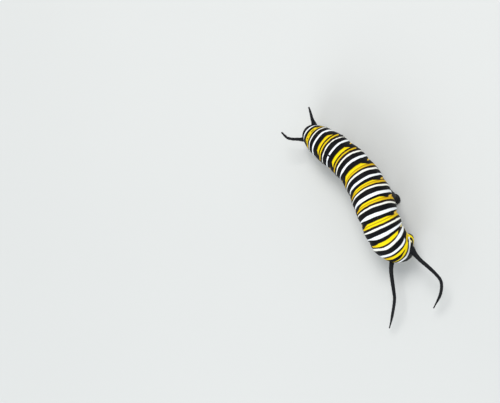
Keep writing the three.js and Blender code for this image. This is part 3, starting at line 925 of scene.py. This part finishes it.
def makeHead():
    deselectAll()
    bpy.ops.mesh.primitive_uv_sphere_add(segments=96, ring_count=64, radius=1)
    shell = bpy.context.object

    def move(v):
        cleft = 1
        for depth, half in head["clefts"]:
            cleft -= depth * max(v.z, 0) * math.exp(-(v.x / half)**2)
        cheek = 1 - head["cheek"] * max(-v.z, 0)**2
        x = head["halfWidth"] * v.x * cheek
        y = head["depth"] * (head["forward"] + (1 - head["forward"]) * v.y) * (cleft if v.y > 0 else 1)
        z = (head["crown"] if v.z > 0 else head["mouth"]) * v.z * cleft
        # seam lines of the face plate, an upside-down V
        edge = abs(abs(v.x) - (0.30 - 0.42 * v.z) * 0.62)
        if v.y > 0.1 and v.z < 0.62:
            y -= head["seamDepth"] * math.exp(-(edge / head["seamWidth"])**2)
        return headPlace(x, max(y, head["backEdge"]), z)

    reshape(shell, move)
    mouthY = head["depth"] * head["mouthForward"]
    parts = [shell]
    for name, radii, (x, y, z) in head["mouthParts"]:
        parts.append(headBall(name, radii, (x, mouthY + y, z - head["mouth"])))
    whole = joined("head_shell", parts)
    tidyMesh(whole, 1e-6, 60)
    return whole


def headFinish():
    finish = Finish("headShell")
    place = finish.objectPlace()
    # the head's own axes, worked out from its place: across, and towards the crown
    middle = headPlace(0, head["depth"] * 0.4, 0)

    def along(axis):
        shifted = finish.add("ShaderNodeVectorMath", {"operation": "SUBTRACT"}, [place, tuple(middle)])
        metres = finish.add("ShaderNodeVectorMath", {"operation": "DOT_PRODUCT"}, [shifted, tuple(axis)], 1)
        return metres * 1000

    x, z = along(neckLeft).maths("ABSOLUTE"), along(neckUp)
    cloud = finish.noise(place, 800, 3)
    shake = (cloud - 0.5) * 0.10
    # a pale arch round the face and a pale upside-down V inside it
    arch = (x * x + (z - 0.1) * (z - 0.1) * 1.15).maths("SQRT")
    outer = 1 - finish.step((arch + shake - 1.30).maths("ABSOLUTE"), 0.10, 0.15)
    inner = 1 - finish.step((x - (0.62 - z * 0.42) * 0.9 + shake).maths("ABSOLUTE"), 0.11, 0.16)
    inner = inner * (1 - finish.step(z, 0.85, 0.95))
    share = outer.maths("MAXIMUM", inner) * finish.step(z, -0.95, -0.7)
    pale = finish.blend(finish.step(arch, 0.9, 1.2), head["yellow"], head["cream"])
    colour = finish.blend(share, head["colour"], pale)
    finish.set(colour=colour, roughness=0.24 + cloud * 0.1, coat=0.5, coatRoughness=0.1, specular=0.5)
    finish.bumps(finish.noise(place, 2600, 3), 0.25, 0.03)
    return finish.material


headPiece = makeHead()
dress(headPiece, headFinish(), "shell", "head")

# small eyes: on each side an arc of five and a sixth near its middle, mm and degrees
eyes = {
    "radii": (0.13, 0.13, 0.11), "colour": (0.006, 0.005, 0.004),
    "middle": (1.18, 0.86, -0.78), "arc": 0.27, "sunk": 0.06, "first": -100, "step": 46,
    "sixthForward": 0.89, "sixthShare": 0.4,
}


def makeEyes():
    balls = []
    x, y, z = eyes["middle"]
    for side in (-1, 1):
        for n in range(6):
            turn = math.radians(eyes["first"] + n * eyes["step"])
            place = [side * (x - eyes["sunk"] * math.cos(turn)), y + eyes["arc"] * math.cos(turn),
                     z + eyes["arc"] * math.sin(turn)]
            if n == 5:
                place[1:] = eyes["sixthForward"], z + eyes["arc"] * math.sin(turn) * eyes["sixthShare"]
            balls.append(headBall("eye", eyes["radii"], place, 16, 10))
    whole = joined("head_eyes", balls)
    tidyMesh(whole, 1e-7)
    return whole


dress(makeEyes(), hornFinish("eyeGlass", eyes["colour"], 0.06, 1.0), "shell")

antennae = {
    "root": (0.98, 0.82, -1.3), "tip": (1.46, 0.84, -2.2), "rows": 30, "sides": 20,
    "radii": (0.30, 0.28, 0.27, 0.25, 0.25, 0.15, 0.07),
}
for side, label in bothSides:
    start, end = (Vector((side * x, y, z)) for x, y, z in (antennae["root"], antennae["tip"]))
    line = [headPlace(*start.lerp(end, n / antennae["rows"])) for n in range(antennae["rows"] + 1)]
    antenna = tube(f"feeler_mouth_{label}", line, lambda along: stopsAt(antennae["radii"], along) * mm,
                   antennae["sides"])
    dress(antenna, legFinish, "legs", f"antenna_{label}")
print("head with eyes, jaws and feelers")

# breathing holes, one a side on the first thorax ring and on eight abdomen rings
spiracle = {
    "stations": [0.5] + [n + 0.5 for n in range(3, 11)], "angle": 97, "radius": 0.17, "rim": 0.05,
    "rimScale": (0.62, 1.25, 1), "slitScale": (0.6, 1.2, 0.3), "colour": (0.008, 0.008, 0.009),
}


def makeSpiracles():
    holes = []
    radius, rim = spiracle["radius"] * mm, spiracle["rim"] * mm
    for station in spiracle["stations"]:
        for side in (-1, 1):
            turn = side * math.radians(spiracle["angle"])
            tailward = ringFrame(station)[1]
            outward = (skinPoint(station, turn, 0.5 * mm) - skinPoint(station, turn)).normalized()
            high = outward.cross(tailward).normalized()
            axes = Matrix((outward.cross(high), high, outward)).transposed().to_4x4()
            axes.translation = skinPoint(station, turn, fine=True)
            deselectAll()
            bpy.ops.mesh.primitive_torus_add(major_segments=28, minor_segments=10,
                                             major_radius=radius, minor_radius=rim)
            ring = bpy.context.object
            deselectAll()
            bpy.ops.mesh.primitive_uv_sphere_add(segments=20, ring_count=10, radius=radius)
            slit = bpy.context.object
            for piece, scale in ((ring, spiracle["rimScale"]), (slit, spiracle["slitScale"])):
                reshape(piece, lambda v: axes @ (v * Vector(scale)))
                holes.append(piece)
    whole = joined("spiracles", holes)
    tidyMesh(whole, 1e-8)
    return whole


spiraclePiece = makeSpiracles()
dress(spiraclePiece, hornFinish("spiracleHorn", spiracle["colour"], 0.3, 0.4), "skin")
print("breathing holes:", len(spiracle["stations"]) * 2)

# floor, light and camera
studio = {
    "floor": (0.64, 0.65, 0.64), "floorSize": 1.6,
    "sky": (0.94, 0.97, 1.0), "skyStrength": 0.60,
    # soft lights that face the larva: name, place, size, power and colour
    "lights": [
        ("overhead", (0.10, 0.12, 0.34), 0.16, 0.85, (1.0, 0.99, 0.97)),
        ("fill", (-0.26, -0.22, 0.20), 0.24, 0.7, (0.93, 0.97, 1.0)),
    ],
}


def floorFinish():
    finish = Finish("paleFloor")
    cloud = finish.noise(finish.objectPlace(), 18, 3)
    shaded = tuple(v * 0.96 for v in studio["floor"])
    finish.set(colour=finish.blend(cloud, studio["floor"], shaded), roughness=0.75)
    return finish.material


deselectAll()
bpy.ops.mesh.primitive_plane_add(size=studio["floorSize"])
floor = bpy.context.object
floor.name = "floor"
floor.data.materials.append(floorFinish())

sky = bpy.data.worlds.new("sky")
sky.use_nodes = True
sky.node_tree.nodes["Background"].inputs["Color"].default_value = (*studio["sky"], 1)
sky.node_tree.nodes["Background"].inputs["Strength"].default_value = studio["skyStrength"]
bpy.context.scene.world = sky

for name, place, size, power, colour in studio["lights"]:
    deselectAll()
    bpy.ops.object.light_add(type="AREA", location=place)
    lamp = bpy.context.object
    lamp.name = name
    lamp.data.size = size
    lamp.data.energy = power
    lamp.data.color = colour
    lamp.rotation_euler = (-Vector(place)).to_track_quat("-Z", "Y").to_euler()

# camera over the back: place in mm, angles in degrees, focal length and picture width in pixels
view = {
    "eye": (22.317, -31.620, 152.499), "azimuth": 38.966, "elevation": 68.780, "roll": -75.049,
    "focus": 933.0, "pictureWidth": 500,
}


def makeCamera():
    a, e, roll = (math.radians(view[k]) for k in ("azimuth", "elevation", "roll"))
    back = Vector((math.cos(e) * math.sin(a), -math.cos(e) * math.cos(a), math.sin(e)))
    right = (-back).cross(Vector((0, 0, 1))).normalized()
    over = right.cross(-back)
    across = right * math.cos(roll) + over * math.sin(roll)
    upward = over * math.cos(roll) - right * math.sin(roll)
    data = bpy.data.cameras.new("camera")
    data.sensor_width = 36
    data.lens = view["focus"] / view["pictureWidth"] * data.sensor_width
    data.clip_start = 0.001
    data.clip_end = 10
    camera = bpy.data.objects.new("camera", data)
    bpy.context.scene.collection.objects.link(camera)
    turned = Matrix((across, upward, back)).transposed().to_4x4()
    turned.translation = Vector(view["eye"]) * mm
    camera.matrix_world = turned
    bpy.context.scene.camera = camera


makeCamera()
bpy.context.scene.view_settings.view_transform = "Standard"
bpy.context.scene.view_settings.look = "None"
print("floor, lights and camera")
